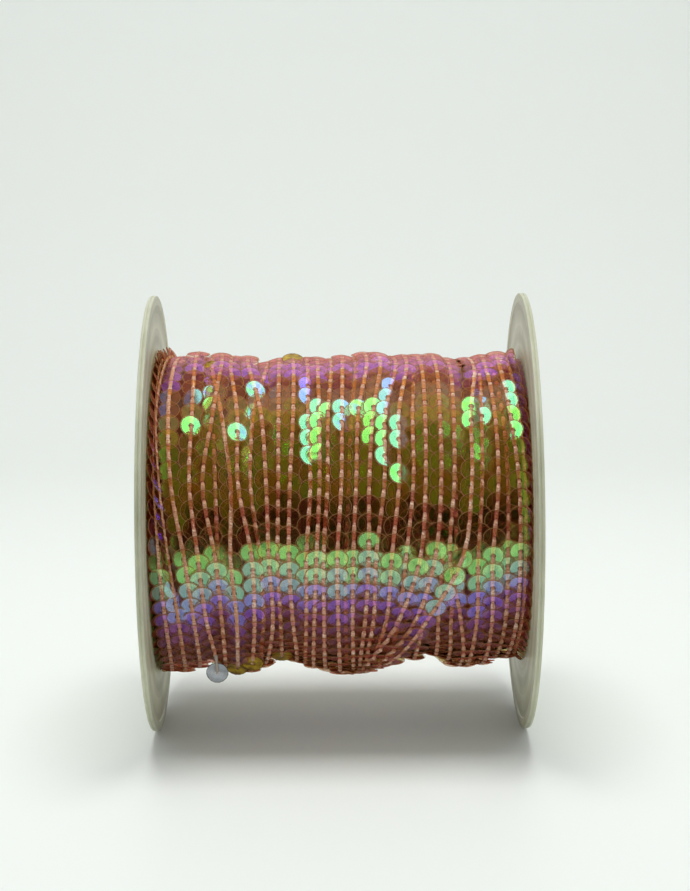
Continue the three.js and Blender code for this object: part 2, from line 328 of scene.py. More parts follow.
for side, node in ((-1, "left_flange"), (1, "right_flange")):
    profile = [(radius, side * along) for radius, along in half_profile]
    points, faces = turned(profile if side > 0 else profile[::-1], FLANGE_TURNS)
    points[:, 2] = np.maximum(points[:, 2], 0)
    moulding = solid("moulded_" + node, points, faces, plastic)
    moulding.data.set_sharp_from_angle(angle=math.radians(35))
    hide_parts(node)
    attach(moulding, "root")


# The form of the winding: where the thread of each outer turn lies, in mm along the
# spool, at six lines on the front. A line is an angle in degrees from the top over the front.
WOUND_RADIUS = 43.2
TAKEN_IN = 0.9  # the thread's middle lies this far under the outermost sequin edges
STATIONS = (15, 45, 70, 97, 120, 145)
BEHIND = (205, 260, 315)

Course = namedtuple("Course", "at15 at45 at70 at97 at120 at145 rise low_rise lean start gold")
# rise lifts or sinks a turn against its neighbours, low_rise does so low on the front; lean
# is how far its sequins tilt, start the angle of one sequin, gold how golden its thread is.
COURSES = [
    Course(-48.4, -48.4, -48.2, -47.0, -46.0, -45.6, -0.1, -0.1, 6, 104, 0.0),
    Course(-47.2, -48.0, -46.8, -44.5, -42.6, -42.0, 0.6, 0.5, 6, 101, 0.8),
    Course(-44.4, -44.7, -43.6, -40.3, -38.6, -37.9, 0.1, 0.3, 4, 103, 0.3),
    Course(-38.6, -38.5, -38.8, -36.7, -35.3, -33.5, 0.4, 0.4, 8, 98.5, 0.0),
    Course(-31.6, -33.2, -35.3, -32.3, -31.2, -31.0, 0.6, 0.2, 12, 95.1, 0.5),
    Course(-33.9, -33.0, -32.2, -31.7, -31.4, -31.0, -1.0, -1.6, 11, 94.5, 0.6),
    Course(-34.0, -30.6, -28.2, -28.3, -27.3, -27.6, -0.3, -0.1, 2.4, 104.4, 0.3),
    Course(-29.0, -26.6, -26.2, -22.8, -22.5, -23.5, 0.4, 0.4, 8.5, 101, 0.0),
    Course(-24.1, -20.3, -19.0, -18.4, -17.7, -19.2, 0.5, 0.4, 12.5, 93.9, 0.0),
    Course(-19.7, -22.5, -23.0, -20.7, -20.1, -21.3, -0.5, -0.5, 9, 97, 0.2),
    Course(-16.0, -15.8, -15.8, -16.1, -15.8, -15.8, 0.1, -0.4, 11.5, 95, 0.0),
    Course(-12.1, -12.0, -12.8, -13.2, -12.6, -11.8, 0.2, 0.3, 11.6, 95.2, 0.0),
    Course(-8.3, -8.0, -7.5, -8.7, -8.9, -9.4, 0.5, 0.1, 8.8, 48.2, 0.0),
    Course(-5.6, -5.2, -5.2, -6.1, -6.8, -7.3, 0.6, 0.3, 10, 47.6, 0.2),
    Course(-1.9, -2.9, -3.1, -4.3, -4.3, -4.3, -0.1, 0.0, 9.5, 98.5, 0.0),
    Course(1.1, 0.8, 0.5, -0.7, -0.6, -0.3, 0.4, 0.4, 9.5, 97.3, 0.0),
    Course(4.7, 3.2, 2.4, 1.6, 1.4, 1.6, -1.2, -1.2, 9, 97, 0.3),
    Course(7.6, 5.0, 4.3, 3.4, 3.2, 3.4, 0.1, 0.2, 9.5, 97.3, 0.0),
    Course(11.3, 8.9, 7.7, 7.4, 6.6, 5.4, 0.4, 0.4, 15.5, 90.9, 0.0),
    Course(15.4, 12.1, 11.6, 9.3, 8.8, 7.2, 0.0, 0.1, 10.5, 48.4, 0.0),
    Course(18.4, 15.7, 15.4, 13.4, 12.3, 9.4, 0.5, 0.3, 9.5, 98.3, 0.0),
    Course(20.2, 19.3, 19.1, 17.1, 15.6, 13.6, -0.3, -0.3, 10, 96, 0.2),
    Course(22.4, 22.6, 22.3, 20.7, 15.7, 8.7, 0.3, 1.2, 12.9, 93.9, 0.0),
    Course(26.3, 26.5, 26.3, 24.5, 20.0, 12.0, 0.5, 1.5, 12.5, 94.2, 0.0),
    Course(30.1, 30.1, 29.7, 28.5, 31.3, 33.0, 0.0, 0.0, 11, 95.5, 0.2),
    Course(36.5, 34.6, 34.2, 31.5, 23.1, 14.1, 0.5, 1.9, 4.5, 103.2, 0.0),
    Course(37.8, 37.4, 36.9, 35.8, 35.9, 35.1, -0.1, 0.2, 7.6, 101, 0.6),
    Course(39.6, 40.9, 41.1, 39.6, 39.9, 39.5, 0.4, 0.3, 10, 96.5, 0.0),
    Course(41.4, 43.0, 43.6, 43.5, 43.6, 42.8, -0.5, -0.4, 11, 94.5, 0.2),
    Course(43.4, 44.9, 46.4, 46.7, 46.5, 45.7, 0.4, 0.3, 12.9, 95.1, 0.0),
    Course(46.4, 47.6, 48.4, 48.4, 48.2, 47.6, -0.4, -0.4, 10, 95, 0.2),
    Course(21.6, 22.0, 22.4, 22.6, 22.1, 20.6, -1.5, -0.6, 11, 94.0, 0.1),
    Course(25.4, 26.2, 26.4, 26.5, 25.8, 26.0, -1.5, -0.5, 11, 97.0, 0.1),
    Course(29.4, 29.9, 30.1, 30.0, 29.2, 29.5, -1.5, -0.7, 11, 93.0, 0.1),
]
# Three turns cross the row low on the front and run back slantwise behind.
CROSSING = {22: (0.5, 9.0, 17.0), 23: (1.0, 11.0, 22.0), 25: (-13.0, 7.0, 27.0)}

Swell = namedtuple("Swell", "along around spread reach rise")
SWELLS = [
    Swell(-46, 166, 5, 40, 1.2), Swell(-28, 166, 4.5, 24, 1.9), Swell(-15, 166, 6, 32, -2.3),
    Swell(0, 166, 7, 26, 1.1), Swell(25, 166, 5, 30, -1.9), Swell(33, 166, 3, 22, 0.6),
    Swell(47, 166, 7, 36, -2.5), Swell(-38, -6, 6, 36, 1.4), Swell(-20, -6, 5, 30, -0.6),
    Swell(-6, -6, 5, 30, -0.7), Swell(7, -6, 5, 32, 1.0), Swell(33, -6, 4, 28, -1.1),
    Swell(44, -6, 4, 36, 0.5), Swell(-30, 250, 8, 36, -0.8), Swell(12, 235, 9, 40, 0.8),
    Swell(36, 285, 7, 34, -0.9),
]


def wound_radius(along, angle):
    """The radius of the winding in mm at places along the spool and degrees round it."""
    along, angle = np.broadcast_arrays(np.asarray(along, float), np.asarray(angle, float))
    radius = np.full(along.shape, WOUND_RADIUS)
    for swell in SWELLS:
        across = (along - swell.along) / swell.spread
        around = ((angle - swell.around + 180) % 360 - 180) / swell.reach
        radius += swell.rise * np.exp(-across ** 2 - around ** 2)
    return radius


def round_curve(stops, values, angles):
    """A smooth closed curve through the values at the stops, which go once round."""
    stops = np.asarray(stops, float)
    values = np.asarray(values, float)
    laps = np.concatenate([stops - 360, stops, stops + 360])
    three = np.concatenate([values, values, values])
    slopes = np.gradient(three, laps)
    at = np.asarray(angles, float) % 360
    i = np.searchsorted(laps, at, side="right") - 1
    span = laps[i + 1] - laps[i]
    t = (at - laps[i]) / span
    return (
        (2 * t ** 3 - 3 * t ** 2 + 1) * three[i] + (t ** 3 - 2 * t ** 2 + t) * span * slopes[i]
        + (3 * t ** 2 - 2 * t ** 3) * three[i + 1] + (t ** 3 - t ** 2) * span * slopes[i + 1]
    )


def on_axis(along, angle, radius):
    """Points in mm at places along the spool, degrees round it and a radius."""
    turn = np.radians(angle)
    return np.stack([
        along + 0 * turn, -radius * np.sin(turn), AXIS_HEIGHT + radius * np.cos(turn),
    ], axis=-1)


# The outer turns: sequins 6 mm across on a thread, 58 to a turn. Each lies under the
# upper edge of the next and over the thread, which comes up through its hole.
SEQUINS_A_TURN = 58
SEQUIN_RADIUS = 3.0
HOLE_RADIUS = 0.5
FILM_THICKNESS = 0.09
CREASE = math.radians(4)
WINDING_REACH = 49.8
THREAD_REACH = 48.6
BEHIND_REACH = 48.2
STEEPEST_ROLL = math.radians(64)
LOWEST_OUTER = -0.9  # turns that are sunk further show only between their neighbours
CROSSING_RISE = 0.7
LOOSE_ROW = 3  # the turn that the loose end has come off, between two angles
LOOSE_FROM, LOOSE_TO = 150, 196
rng = np.random.default_rng(11)
outer_rows = [row for row, course in enumerate(COURSES) if course.rise > LOWEST_OUTER]


def behind(row):
    """Where a turn lies behind, at the three angles of BEHIND."""
    if row in CROSSING:
        return CROSSING[row]
    if row in outer_rows:
        ends = [-BEHIND_REACH, BEHIND_REACH]
        place = np.interp(outer_rows.index(row), [0, len(outer_rows) - 1], ends)
        return tuple(place + rng.uniform(-0.5, 0.5, 3))
    first, last = COURSES[row].at145, COURSES[row].at15
    return (first, 0.5 * (first + last), last)


Places = namedtuple("Places", "point along_strand outward angle x row")


def strand(x_at, rise_at, angles, row):
    """The sequin places of one turn, with the strand's direction and the way out of the roll."""
    def path(a):
        x = np.clip(x_at(a), -THREAD_REACH, THREAD_REACH)
        return on_axis(x, a, wound_radius(x, a) - TAKEN_IN + rise_at(a))
    point = path(angles)
    ahead = path(angles + 1.0) - path(angles - 1.0)
    ahead /= np.linalg.norm(ahead, axis=1, keepdims=True)
    outward = on_axis(0.0, angles, 1.0) - (0, 0, AXIS_HEIGHT)
    outward -= (outward * ahead).sum(1, keepdims=True) * ahead
    outward /= np.linalg.norm(outward, axis=1, keepdims=True)
    return Places(point, ahead, outward, angles, point[:, 0], np.full(len(angles), row))


def turn_about(vectors, axis, angle):
    """Vectors turned about unit axes by angles in radians, row by row."""
    angle = np.broadcast_to(angle, (len(vectors),))[:, None]
    along = (vectors * axis).sum(1, keepdims=True) * axis
    return along + (vectors - along) * np.cos(angle) + np.cross(axis, vectors) * np.sin(angle)


def stacked(parts):
    return Places(*(np.concatenate(column) for column in zip(*parts)))


step = 360 / SEQUINS_A_TURN
parts = []
for row, course in enumerate(COURSES):
    xs = course[:6] + behind(row)
    low = CROSSING_RISE if row in CROSSING else course.rise
    rises = (course.rise, course.rise, course.rise, 0.5 * (course.rise + course.low_rise),
             course.low_rise, course.low_rise, low, low, low)
    stops = STATIONS + BEHIND
    angles = course.start + step * np.arange(SEQUINS_A_TURN)
    if row == LOOSE_ROW:
        angles = angles[((angles % 360) < LOOSE_FROM) | ((angles % 360) > LOOSE_TO)]
    parts.append(strand(
        lambda a: round_curve(stops, xs, a), lambda a: round_curve(stops, rises, a), angles, row,
    ))
outer = stacked(parts)


def lie(places, lean, roll):
    """The way each sequin faces and its upper edge points, leaned and rolled on its strand."""
    side = np.cross(places.along_strand, places.outward)
    facing = turn_about(places.outward, side, -lean)
    upper = turn_about(-places.along_strand, side, -lean)
    facing = turn_about(facing, upper, roll)
    return facing, upper


def room_roll(places):
    """How far a sequin next to a flange has to roll up to stay clear of it."""
    room = WINDING_REACH - np.abs(places.x)
    need = np.arccos(np.clip(room / SEQUIN_RADIUS, -1, 1))
    return -np.sign(places.x) * np.minimum(need, STEEPEST_ROLL)


def euler(facing, upper):
    """Euler angles that turn Z to facing and Y towards upper."""
    turns = []
    for z, y in zip(facing, upper):
        z = Vector(z).normalized()
        x = Vector(y).cross(z).normalized()
        turns.append(Matrix((x, z.cross(x), z)).transposed().to_euler())
    return np.array(turns)


# The outermost turns stand almost on edge along the flanges until they come down the front,
# by so many degrees and up to that angle from the top.
# There each slants across the strand, so that the strand looks like a rope.
ON_EDGE = {0: (74, 100), 1: (70, 126), 30: (66, 100)}
ON_EDGE_FROM = -40
COMES_DOWN_OVER = 25  # degrees
STROKE_SLANT = math.radians(20)
SWAY = math.radians(3.5)
leans = np.radians([COURSES[row].lean for row in outer.row])
rolls = room_roll(outer)
edge_share = np.zeros(len(outer.row))
for row, (most, until) in ON_EDGE.items():
    from_top = (outer.angle + 180) % 360 - 180
    share = np.clip((until - from_top) / COMES_DOWN_OVER, 0, 1)
    share = share * np.clip((from_top - ON_EDGE_FROM) / COMES_DOWN_OVER, 0, 1)
    edge_on = -np.sign(outer.x) * math.radians(most)
    rolls = np.where(outer.row == row, rolls + share * (edge_on - rolls), rolls)
    edge_share = np.where(outer.row == row, share, edge_share)
sideways = np.radians(rng.uniform(-4, 4, len(COURSES)))  # how far each turn lies rolled over
room_left = np.clip((WINDING_REACH - np.abs(outer.x) - 3.2) / 3, 0, 1)
rolls = rolls + room_left * sideways[outer.row]
facing, upper = lie(outer, leans, rolls)
stitch_turns = euler(facing, upper)
slants = STROKE_SLANT * edge_share
facing, upper = (turn_about(way, outer.outward, slants) for way in (facing, upper))
# How freely each sequin sways, which is less next to a flange, and which ones are crumpled:
# a few of those behind, and in front those that the next list names.
BY_A_FLANGE = 46.5
CRUMPLED_SHARE = 0.01
slack = np.where(np.abs(outer.x) > BY_A_FLANGE, 0.4, 1.0)
chosen = rng.random(len(outer.row)) < CRUMPLED_SHARE
crumple = np.where(chosen & (outer.angle % 360 > 180), 1.0, 0.0)

# Sequins that are twisted on the thread so that they mirror a light: the turn, the angle from
# the top, the half that does (-1 left, 1 right, 0 whole), the light's side, how far off the
# middle of the view the film is mirroring, which gives the colour, and crumpling.
LIME, GREEN, MINT, CYAN, BLUE, VIOLET = 21, 27, 33, 37, 42, 48
Flash = namedtuple("Flash", "row angle half light colour crumple", defaults=[0.0])
FLASHES = [
    Flash(3, 36.4, 1, -1, CYAN, 0.1), Flash(3, 48.8, 0, 1, GREEN), Flash(5, 32.4, -1, 1, CYAN, 1.0),
    Flash(5, 38.6, -1, 1, GREEN), Flash(7, 51.3, 0, 1, MINT, 0.5), Flash(8, 31.8, 0, 1, CYAN, 0.6),
    Flash(12, 29.6, -1, 1, VIOLET), Flash(12, 35.8, -1, 1, BLUE), Flash(12, 48.2, -1, 1, MINT),
    Flash(12, 54.4, -1, 1, MINT), Flash(12, 60.6, -1, 1, MINT), Flash(13, 41.4, -1, 1, MINT),
    Flash(13, 47.6, -1, 1, GREEN), Flash(13, 53.8, -1, 1, LIME), Flash(13, 60.0, -1, 1, LIME, 0.5),
    Flash(14, 42.6, -1, 1, GREEN), Flash(15, 41.4, 0, 1, CYAN, 0.2), Flash(15, 47.6, -1, 1, CYAN, 1.0),
    Flash(17, 41.4, 0, 1, MINT, 1.0), Flash(18, 41.2, 0, 1, GREEN), Flash(18, 47.5, -1, 1, LIME),
    Flash(18, 53.7, -1, 1, LIME), Flash(19, 29.8, -1, 1, BLUE), Flash(19, 36.0, -1, 1, CYAN),
    Flash(19, 42.2, -1, 1, CYAN), Flash(19, 48.4, -1, 1, GREEN), Flash(19, 54.6, -1, 1, GREEN),
    Flash(19, 60.8, -1, 1, MINT), Flash(20, 48.6, -1, 1, MINT), Flash(20, 54.9, -1, 1, MINT),
    Flash(20, 67.3, -1, 1, GREEN, 0.4), Flash(25, 41.1, 0, 1, GREEN, 0.5), Flash(25, 47.3, -1, 1, GREEN),
    Flash(26, 45.1, 1, -1, MINT), Flash(29, 33.0, 1, -1, MINT), Flash(29, 39.2, 1, -1, MINT),
    Flash(29, 45.5, 1, -1, LIME), Flash(29, 51.7, 1, -1, GREEN, 0.6),
]
FLASH_LIFT = 0.45
PARTS_OF_STRIP = {-1: 39, 0: 34, 1: 28}  # degrees off to its side that a half can mirror best
sequin_points = outer.point.copy()
eye = np.array(camera.location) / MM


def nearest_place(row, angle):
    apart = np.abs((outer.angle - angle + 180) % 360 - 180)
    return np.argmin(np.where(outer.row == row, apart, 999))


for flash in FLASHES:
    i = nearest_place(flash.row, flash.angle)
    to_eye = eye - outer.point[i]
    to_eye /= np.linalg.norm(to_eye)
    off = PARTS_OF_STRIP[flash.half * flash.light]
    best, nearest = None, 999.0
    for elevation in np.arange(STRIP_FROM + 2, STRIP_TO - 2, 1.0):
        to_light = np.array(strip_point(flash.light, elevation, off)) - outer.point[i]
        half_way = to_eye + to_light / np.linalg.norm(to_light)
        half_way /= np.linalg.norm(half_way)
        apart = abs(np.degrees(np.arccos(half_way @ to_eye)) - flash.colour)
        if apart < nearest:
            best, nearest = half_way, apart
    crease = np.array([flash.half * -CREASE])
    facing[i] = turn_about(best[None], upper[i][None], crease)[0]
    slack[i] = 0.0
    crumple[i] = flash.crumple
    sequin_points[i] += FLASH_LIFT * outer.outward[i]

# Sequins among the bright ones that catch no light in the photo, so these don't sway.
LIE_STILL = [(7, 63.8), (10, 51.6), (25, 59.8), (26, 57.6)]
for row, angle in LIE_STILL:
    slack[nearest_place(row, angle)] = 0.0

# A few sequins that came to lie with the uncoated side outwards, as the turn and the angle.
TURNED_OVER = [(5, 14), (11, 5), (6, 152), (7, 152), (10, 154)]
turned_over = np.zeros(len(outer.row), bool)
for row, angle in TURNED_OVER:
    i = nearest_place(row, angle)
    to_eye = eye - outer.point[i]
    facing[i] = outer.outward[i] + 0.4 * to_eye / np.linalg.norm(to_eye)
    sequin_points[i] += FLASH_LIFT * outer.outward[i]
    turned_over[i] = True


def string_tree():
    """Sets one pattern piece on every place, turned and pressed as the place says, with a
    little random sway."""
    tree = bpy.data.node_groups.new("strung_on_thread", "GeometryNodeTree")
    for name, kind in (("Geometry", "Geometry"), ("Pattern piece", "Object"), ("Sway", "Float"),
                       ("Seed", "Int"), ("Finish", "Material")):
        tree.interface.new_socket(name, in_out="INPUT", socket_type="NodeSocket" + kind)
    tree.interface.new_socket("Geometry", in_out="OUTPUT", socket_type="NodeSocketGeometry")
    given = add(tree, "NodeGroupInput").outputs
    pattern = add(tree, "GeometryNodeObjectInfo", links={"Object": given["Pattern piece"]})
    turn, slack_of, pressed = (
        add(tree, "GeometryNodeInputNamedAttribute", {"Name": name}, data_type=kind)
        for name, kind in (("turn", "FLOAT_VECTOR"), ("slack", "FLOAT"), ("pressed", "FLOAT"))
    )
    thickness = add(tree, "ShaderNodeMath", {0: 1.0}, {1: pressed}, operation="SUBTRACT")
    scale = add(tree, "ShaderNodeCombineXYZ", {0: 1.0, 1: 1.0}, {2: thickness})
    base = add(tree, "FunctionNodeEulerToRotation", links={0: turn})
    chance = add(
        tree, "FunctionNodeRandomValue", {0: (-1, -1, -1), 1: (1, 1, 1)},
        {"Seed": given["Seed"]}, data_type="FLOAT_VECTOR",
    )
    room_to_sway = add(
        tree, "ShaderNodeMath", links={0: given["Sway"], 1: slack_of}, operation="MULTIPLY",
    )
    sway = add(
        tree, "ShaderNodeVectorMath", links={0: chance, "Scale": room_to_sway}, operation="SCALE",
    )
    sway_turn = add(tree, "FunctionNodeEulerToRotation", links={0: sway})
    turned_by = add(
        tree, "FunctionNodeRotateRotation",
        links={0: base, 1: sway_turn}, rotation_space="LOCAL",
    )
    pieces = add(
        tree, "GeometryNodeInstanceOnPoints",
        links={"Points": given["Geometry"], "Instance": pattern.outputs["Geometry"],
               "Rotation": turned_by, "Scale": scale},
    )
    tone = add(tree, "FunctionNodeRandomValue", links={"Seed": given["Seed"]}, data_type="FLOAT")
    toned = add(
        tree, "GeometryNodeStoreNamedAttribute", {"Name": "tone"},
        {"Geometry": pieces, "Value": tone.outputs[1]},
        data_type="FLOAT", domain="INSTANCE",
    )
    real = add(tree, "GeometryNodeRealizeInstances", links={0: toned})
    finished = add(
        tree, "GeometryNodeSetMaterial", links={"Geometry": real, "Material": given["Finish"]},
    )
    add(tree, "NodeGroupOutput", links={0: finished})
    return tree


strung = string_tree()


def string_up(name, points, attributes, pattern, finish, sway, seed):
    """A plain mesh of the pattern piece set on every point, which is in mm."""
    carrier_mesh = bpy.data.meshes.new(name)
    carrier_mesh.from_pydata((points * MM).tolist(), [], [])
    for attribute, values in attributes.items():
        kind = "FLOAT_VECTOR" if values.ndim == 2 else "FLOAT"
        data = carrier_mesh.attributes.new(attribute, kind, "POINT").data
        data.foreach_set("vector" if values.ndim == 2 else "value", values.ravel())
    carrier = bpy.data.objects.new(name + "_places", carrier_mesh)
    scene.collection.objects.link(carrier)
    modifier = carrier.modifiers.new("strung", "NODES")
    modifier.node_group = strung
    inputs = {"Pattern piece": pattern, "Sway": sway, "Seed": seed, "Finish": finish}
    for item in strung.interface.items_tree:
        if item.in_out == "INPUT" and item.name in inputs:
            modifier[item.identifier] = inputs[item.name]
    bpy.context.view_layer.update()
    evaluated = carrier.evaluated_get(bpy.context.evaluated_depsgraph_get())
    piece = bpy.data.objects.new(name, bpy.data.meshes.new_from_object(evaluated))
    scene.collection.objects.link(piece)
    bpy.data.objects.remove(carrier)
    return piece


SEQUIN_SIDES = 16


def sequin_pattern(name, n):
    """One flat round sequin with a hole, punched from film and creased along the thread. Its
    UV map holds the place across it, with the cut edges past the rim."""
    angles = 2 * np.pi * (np.arange(n) + 0.5) / n
    rim = np.stack([np.cos(angles), np.sin(angles)], 1)
    points = []
    for radius, height in ((SEQUIN_RADIUS, 0.5), (HOLE_RADIUS, 0.5), (HOLE_RADIUS, -0.5),
                           (SEQUIN_RADIUS, -0.5)):
        for x, y in rim * radius:
            points.append((x, y, height * FILM_THICKNESS - abs(x) * math.tan(CREASE)))
    faces = [
        (r * n + s, r * n + (s + 1) % n, (r + 1) % 4 * n + (s + 1) % n, (r + 1) % 4 * n + s)
        for r in range(4) for s in range(n)
    ]
    piece = solid(name, points, faces, plastic, smooth=False)
    across = piece.data.uv_layers.new(name="across")
    back = piece.data.attributes.new("back", "FLOAT", "FACE")
    for polygon in piece.data.polygons:
        kind = polygon.index // n
        back.data[polygon.index].value = float(kind == 2)
        for loop in polygon.loop_indices:
            x, y, _ = piece.data.vertices[piece.data.loops[loop].vertex_index].co / MM
            flat = (0.5 + x / (2 * SEQUIN_RADIUS), 0.5 + y / (2 * SEQUIN_RADIUS))
            across.data[loop].uv = flat if kind in (0, 2) else (1, 1)
    return piece


def film_colours(tree, facing_output):
    """The interference colour of the coating against the angle, from head-on to grazing."""
    return ramp(tree, facing_output, [
        (0.0, "#8EB832"), (0.04, "#74BC3E"), (0.08, "#58B048"), (0.12, "#50B062"),
        (0.17, "#52A284"), (0.22, "#548EA2"), (0.28, "#5874C8"), (0.34, "#624CCE"),
        (0.42, "#7440AC"), (0.5, "#7C4C90"), (0.62, "#865C70"), (0.85, "#9C8090"),
    ])


Zones = namedtuple("Zones", "rim hole back dulled")


def over_a_sequin(tree):
    """Where a point lies on its sequin: 1 on the cut edge and the outermost 0.2 mm, 1 within
    0.2 mm of the hole, 1 on the back, and 1 in the painted shade by the edge and the hole."""
    across = add(tree, "ShaderNodeUVMap", uv_map="across")
    centred = add(
        tree, "ShaderNodeVectorMath", {1: (-0.5, -0.5, 0)}, {0: across}, operation="ADD",
    )
    radius = add(tree, "ShaderNodeVectorMath", links={0: centred}, operation="LENGTH")

    def beyond(none, full):
        """From 0 to 1 between two distances in mm from the sequin's middle."""
        return add(
            tree, "ShaderNodeMapRange",
            {"From Min": none / (2 * SEQUIN_RADIUS), "From Max": full / (2 * SEQUIN_RADIUS)},
            {"Value": radius.outputs["Value"]},
        )

    dulled = add(tree, "ShaderNodeMath", links={0: beyond(2.628, 2.676), 1: beyond(0.768, 0.72)},
                 operation="MAXIMUM")
    back = add(tree, "ShaderNodeAttribute", attribute_name="back")
    front_rim = add(
        tree, "ShaderNodeMath", links={0: beyond(2.796, 2.844), 1: back.outputs["Fac"]},
        operation="SUBTRACT", use_clamp=True,
    )
    return Zones(front_rim, beyond(0.75, 0.66), back.outputs["Fac"], dulled)


def clear_film(tree):
    """Amber polyester film, coated on one side: the coating mirrors green, blue or violet with
    the angle, and what it doesn't mirror goes through and comes back red, copper or gold."""
    zones = over_a_sequin(tree)
    crinkle = mottling(tree, 2.2, 0)
    crumpled = add(tree, "ShaderNodeAttribute", attribute_name="crumple")
    depth = add(
        tree, "ShaderNodeMapRange", {"To Min": 0.014, "To Max": 1.0},
        {"Value": crumpled.outputs["Fac"]},
    )
    relief = add(
        tree, "ShaderNodeBump", {"Distance": 0.3 * MM}, {"Height": crinkle, "Strength": depth},
    )
    facing_angle = add(tree, "ShaderNodeLayerWeight", {"Blend": 0.5}, {"Normal": relief})
    colours = film_colours(tree, facing_angle.outputs["Facing"])
    both_sides = add(
        tree, "ShaderNodeVectorMath", {1: (0.035, 0.012, 0.004)}, {0: colours}, operation="ADD",
    )
    # Painted shade: in a band inside the cut edge and one round the hole most of the mirror is taken
    # away, for the shade that the next sequin's raised edge and the hole's gap cast there.
    kept = add(
        tree, "ShaderNodeMath", {1: -0.85, 2: 1.0}, {0: zones.dulled}, operation="MULTIPLY_ADD",
    )
    mirrored = add(
        tree, "ShaderNodeVectorMath", links={0: both_sides, "Scale": kept}, operation="SCALE",
    )
    mirror = add(
        tree, "ShaderNodeBsdfGlossy", {"Roughness": 0.15}, {"Color": mirrored, "Normal": relief},
    )
    unmirrored = add(
        tree, "ShaderNodeVectorMath", {1: (-0.9, -0.9, -0.9), 2: (1, 1, 1)}, {0: colours},
        operation="MULTIPLY_ADD",
    )
    amber = add(
        tree, "ShaderNodeVectorMath", {1: linear("#FFF0D4")[:3]}, {0: unmirrored},
        operation="MULTIPLY",
    )
    slant = add(
        tree, "ShaderNodeMapRange", {"From Min": 0.45, "From Max": 0.95},
        {"Value": facing_angle.outputs["Facing"]},
    )
    passed = add(
        tree, "ShaderNodeMix", {7: linear("#B4482C")}, {0: slant, 6: amber}, data_type="RGBA",
    )
    through = add(tree, "ShaderNodeBsdfTransparent", links={"Color": passed.outputs[2]})
    ideal = add(tree, "ShaderNodeAddShader", links={0: mirror, 1: through})
    scuffs = add(tree, "ShaderNodeBsdfDiffuse", {"Color": linear("#E88670")})
    scuffed = add(
        tree, "ShaderNodeMapRange",
        {"From Min": 0.6, "From Max": 0.95, "To Min": 0.01, "To Max": 0.25},
        {"Value": facing_angle.outputs["Facing"]},
    )
    front = add(tree, "ShaderNodeMixShader", links={0: scuffed, 1: ideal, 2: scuffs})
    clear = add(tree, "ShaderNodeBsdfTransparent")
    gloss = add(tree, "ShaderNodeBsdfGlossy", {"Roughness": 0.2})
    behind_it = add(tree, "ShaderNodeMixShader", {0: 0.06}, {1: clear, 2: gloss})
    film_part = add(tree, "ShaderNodeMixShader", links={0: zones.back, 1: front, 2: behind_it})
    edge = add(
        tree, "ShaderNodeBsdfPrincipled", {"Base Color": linear("#AC7844"), "Roughness": 0.4},
    )
    # Painted shade: a dark brown ring round the hole, for the shadow in the gap where the thread comes
    # up through it.
    punched = add(
        tree, "ShaderNodeBsdfPrincipled", {"Base Color": linear("#7A4C36"), "Roughness": 0.4},
    )
    part_of_rim = add(tree, "ShaderNodeMath", {1: 0.85}, {0: zones.rim}, operation="MULTIPLY")
    part_of_hole = add(tree, "ShaderNodeMath", {1: 0.15}, {0: zones.hole}, operation="MULTIPLY")
    rimmed = add(tree, "ShaderNodeMixShader", links={0: part_of_rim, 1: film_part, 2: edge})
    return add(tree, "ShaderNodeMixShader", links={0: part_of_hole, 1: rimmed, 2: punched})


def uncoated_film(tree):
    """The other side of the film: plain crumpled amber, with golden highlights painted on its dents."""
    rim = over_a_sequin(tree).rim
    dents = mottling(tree, 1.7, 2)
    # Painted highlights: golden where the dents stand highest, dark amber between them.
    colour = ramp(tree, dents, [(0.35, "#6E4E08"), (0.7, "#C8A624")])
    amber = add(
        tree, "ShaderNodeBsdfPrincipled", {"Roughness": 0.3},
        {"Base Color": colour, "Normal": bumps(tree, dents, 0.8, 0.3)},
    )
    edge = add(tree, "ShaderNodeBsdfDiffuse", {"Color": linear("#5E3A14")})
    return add(tree, "ShaderNodeMixShader", links={0: rim, 1: amber, 2: edge})


film = finish_with("iridescent_polyester_film", clear_film)
pattern = sequin_pattern("sequin_pattern", SEQUIN_SIDES)
sequin_turns = euler(facing, upper)
half = len(COURSES) // 2
for name, rows, finish, seed in (
    ("left_sequins", (outer.row < half) & ~turned_over, film, 3),
    ("right_sequins", (outer.row >= half) & ~turned_over, film, 4),
    ("turned_over_sequins", turned_over, finish_with("uncoated_amber_side", uncoated_film), 6),
):
    sequins = string_up(
        name, sequin_points[rows],
        {"turn": sequin_turns[rows], "slack": slack[rows], "crumple": crumple[rows]},
        pattern, finish, SWAY, seed,
    )
    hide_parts("winding")
    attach(sequins, "root")


# The thread of the outer turns: chain-stitched salmon pink polyester, 1.2 mm wide. Each
# stitch comes up through one sequin's hole, runs down its face and goes on under the next.
Ring = namedtuple("Ring", "down up width thick")
STITCH = [
    Ring(-0.25, -0.35, 0.9, 0.4), Ring(0.0, 0.2, 1.0, 0.55), Ring(0.35, 0.42, 1.15, 0.72),
    Ring(1.0, 0.45, 1.25, 0.8), Ring(1.7, 0.37, 1.25, 0.64), Ring(3.2, 0.37, 1.2, 0.6),
    Ring(4.2, 0.36, 1.15, 0.56), Ring(4.8, 0.28, 0.95, 0.46),
]
STITCH_SIDES = 6
STITCH_HEIGHT = 0.8  # where sequins lie closer than this, they press the thread flatter
PAINTED_HIGHLIGHTS_APART = 0.8
PALEST = 1.12


